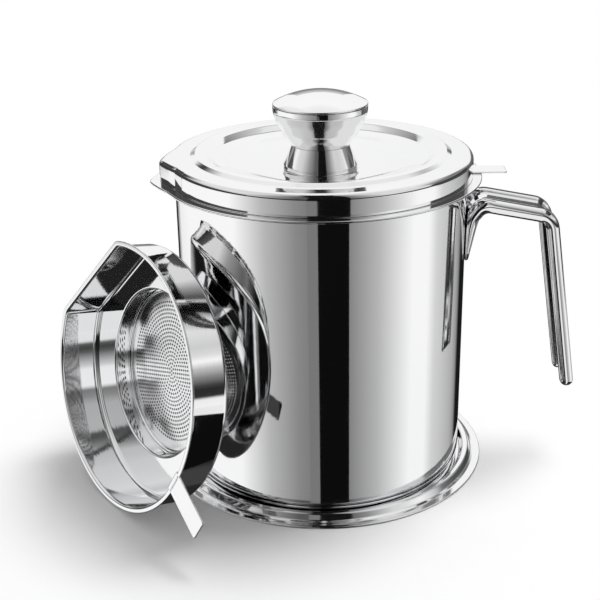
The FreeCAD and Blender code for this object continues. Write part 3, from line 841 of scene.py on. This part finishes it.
# %% [markdown]
# ## The strainer
#
# A shallow bowl, round but for one flat side, with a round well in its floor. At the
# well's foot a ring holds down a disc with a field of small holes. A flat tab leaves the
# rim. The same shapes are made twice, once in the pot's mouth and once leaning at it.

# %% The plan of the bowl: a circle with one side cut flat
RIM = 54.8
FLAT = 46.8
FLAT_CORNER = 31.4
THIN_SHEET = 0.7
BOWL_IN, WELL_IN, OUTLET = 52.4, 34.6, 32.4
BOWL_OUT, WELL_OUT = BOWL_IN + THIN_SHEET, WELL_IN + THIN_SHEET
STEP_DOWN, WELL_DOWN = -16.6, -24.7
STEP_UNDER, WELL_UNDER = STEP_DOWN - THIN_SHEET, WELL_DOWN - THIN_SHEET
DISC_EDGE, RING_IN = 34.5, 33.3
TOP, BOTTOM = -24.0, WELL_DOWN
TAB_TURN = math.radians(15.5)


def dee(amount, angle):
    """The flat side cuts the wall and the rim, and leaves the well round."""
    across = -math.cos(angle)
    share = min(max((amount - 36.0) / 4.0, 0.0), 1.0)
    if across < 0.2 or share == 0.0:
        return amount
    line = (amount - (RIM - FLAT)) / across
    return amount + share * (soft_least(line, amount, 0.9) - amount)


DEE_ANGLES = fine_angles([180 - FLAT_CORNER, 180 + FLAT_CORNER], 9, 1.25, 0.3)
BOWL = rounded([
    (RIM, 0, 0.33), (BOWL_IN, 0, 1.3), (BOWL_IN, STEP_DOWN, 1.8), (WELL_IN, STEP_DOWN, 0.9),
    (WELL_IN, WELL_DOWN, 0.3), (OUTLET, WELL_DOWN, 0.2), (OUTLET, WELL_UNDER, 0.2),
    (WELL_OUT, WELL_UNDER, 0.6), (WELL_OUT, STEP_UNDER, 0.3), (BOWL_OUT, STEP_UNDER, 2.5),
    (BOWL_OUT, -THIN_SHEET, 0.4), (RIM, -THIN_SHEET, 0.33)], closed=True)
COLLAR = rounded([
    (DISC_EDGE, TOP, 0.1), (DISC_EDGE, -23.2, 0.2), (33.7, -23.2, 0.35), (RING_IN, -23.6, 0.3),
    (RING_IN, TOP, 0.1)], closed=True)
print("bowl: %d points along its line, %d round" % (len(BOWL), len(DEE_ANGLES)))


# %% The tab, a flat tongue with rounded corners
TAB_ROOT, TAB_TIP, TAB_HALF = 51.8, 76.0, 5.0


def tab_shape(place):
    outline = rounded([(TAB_ROOT, -TAB_HALF, 0.1), (TAB_TIP, -TAB_HALF, 1.2),
                       (TAB_TIP, TAB_HALF, 1.2), (TAB_ROOT, TAB_HALF, 0.1)],
                      closed=True, steps=6)
    levels = [(0.3, -THIN_SHEET), (0.09, -0.61), (0.0, -0.4), (0.0, -0.3), (0.09, -0.09),
              (0.3, 0.0)]
    turn = Matrix.Rotation(TAB_TURN, 4, "Z")
    count = len(outline)
    points, normals = [], []
    for (inset, height), lean in zip(levels, (-90, -45, 0, 0, 45, 90)):
        outward, rise = math.cos(math.radians(lean)), math.sin(math.radians(lean))
        for spot, along in outline:
            side = Vector((-along.y, along.x)) * inset
            points.append(turn @ Vector((spot.x + side.x, spot.y + side.y, height)))
            facing = turn @ Vector((along.y * outward, -along.x * outward, rise))
            normals.append((place.to_3x3() @ facing).normalized())
    rows = [row_of(row * count, count) for row in range(len(levels))]
    faces = [tuple(reversed(rows[0]))]
    for low, high in zip(rows, rows[1:]):
        faces += strip_faces(low, high, count)
    faces.append(tuple(rows[-1]))
    return placed(points, place), faces, normals


print("tab: %g mm wide" % (2 * TAB_HALF))


# %% The disc with its field of holes
RINGS = 18
PITCH = 1.6
HOLE = 0.5
CORNERS = 12


def cell_corners(ring, step):
    """The edge of one hole's share of the disc, three points along each side."""
    wide = 2 * math.pi / (6 * ring)
    start = wide * step
    near, far = (ring - 0.5) * PITCH, (ring + 0.5) * PITCH
    thirds = (0, 1 / 3, 2 / 3)
    spots = [(near, start + wide * share) for share in thirds]
    spots += [(near + PITCH * share, start + wide) for share in thirds]
    spots += [(far, start + wide * (1 - share)) for share in thirds]
    spots += [(far - PITCH * share, start) for share in thirds]
    middle = ring * PITCH, start + wide / 2
    return [round_point(*spot) for spot in spots], round_point(*middle)


def round_point(reach, angle):
    return Vector((reach * math.cos(angle), reach * math.sin(angle)))


def cells():
    rim = [round_point(0.5 * PITCH, 2 * math.pi * step / CORNERS) for step in range(CORNERS)]
    made = [(rim, Vector((0, 0)))]
    for ring in range(1, RINGS + 1):
        made += [cell_corners(ring, step) for step in range(6 * ring)]
    return made


def hole_points(rim, middle):
    return [middle + (spot - middle).normalized() * HOLE for spot in rim]


def at_height(spots, height):
    return [Vector((spot.x, spot.y, height)) for spot in spots]


def disc_shape(place):
    points, faces = [], []
    for height, flip in ((TOP, True), (BOTTOM, False)):
        for rim, middle in cells():
            base = len(points)
            points += at_height(rim, height) + at_height(hole_points(rim, middle), height)
            flat = strip_faces(row_of(base, CORNERS), row_of(base + CORNERS, CORNERS), CORNERS)
            faces += [face[::-1] if flip else face for face in flat]
    field = (RINGS + 0.5) * PITCH
    margin = rounded([(field, TOP, 0), (DISC_EDGE, TOP, 0.1), (DISC_EDGE, BOTTOM, 0.1),
                      (field, BOTTOM, 0)], steps=3)
    ring_points, ring_faces, _ = carried(margin)
    base = len(points)
    faces += [tuple(base + step for step in face) for face in ring_faces]
    return placed(points, place) + [place @ point for point in ring_points], faces, None


def hole_walls(place):
    points, faces = [], []
    for rim, middle in cells():
        base = len(points)
        edge = hole_points(rim, middle)
        points += at_height(edge, TOP) + at_height(edge, BOTTOM)
        faces += turned_faces(row_of(base, CORNERS), row_of(base + CORNERS, CORNERS))
    return placed(points, place), faces, None


print("holes in a disc:", len(cells()))


# %% Where the two strainers are
SEAT = 127.75
LEAN_TURN = math.radians(44.2)


def standing(turn=LEAN_TURN):
    draw = next(joint for joint in frame["joints"] if joint["name"] == "spare_strainer_draw")
    centre, mouth = Vector(draw["pos_m"]), Vector(draw["axis"]).normalized()
    sideways = Vector((mouth.y, -mouth.x, 0)).normalized()
    upward = sideways.cross(mouth)
    along = -(sideways * math.cos(turn) + upward * math.sin(turn))
    turned = Matrix((along, mouth.cross(along), mouth)).transposed().to_4x4()
    return Matrix.Translation(centre) @ turned


def seated():
    return Matrix.Translation((0, 0, SEAT * MM)) @ Matrix.Rotation(-TAB_TURN, 4, "Z")


PLACES = {"strainer": ("seated_strainer", seated()),
          "spare_strainer": ("spare_strainer", standing())}
for prefix, (body, place) in PLACES.items():
    print("%s rides on %s" % (prefix, body))

# %% Make both strainers
for prefix, (body, place) in PLACES.items():
    finish = steel(prefix + "_steel", BRIGHT, SHADE, 0.05, 0.05, 800.0, 0.00003, place)
    mesh_finish = steel(prefix + "_disc_steel", BRIGHT, SHADE, 0.16, 0.08, 500.0, 0.00003,
                        place)
    # The hole walls are painted near black: painted shade that stands in for the dark seen
    # through the small holes, not the colour of the steel.
    painted_shade_holes = steel(prefix + "_hole_steel", grey(0.05), grey(0.03), 0.5, 0.2, 500.0,
                        0.00003, place)
    piece(prefix + "_bowl_sheet", carried(BOWL, True, dee, DEE_ANGLES, place), finish, body,
          "strainer_steel", prefix + "_bowl")
    piece(prefix + "_tongue", tab_shape(place), finish, body, "strainer_steel")
    piece(prefix + "_collar_ring", carried(COLLAR, True, place=place), finish, body,
          "strainer_steel", prefix + "_collar")
    piece(prefix + "_mesh", disc_shape(place), mesh_finish, body, "strainer_steel",
          prefix + "_disc")
    piece(prefix + "_hole_walls", hole_walls(place), painted_shade_holes, body, "strainer_steel")
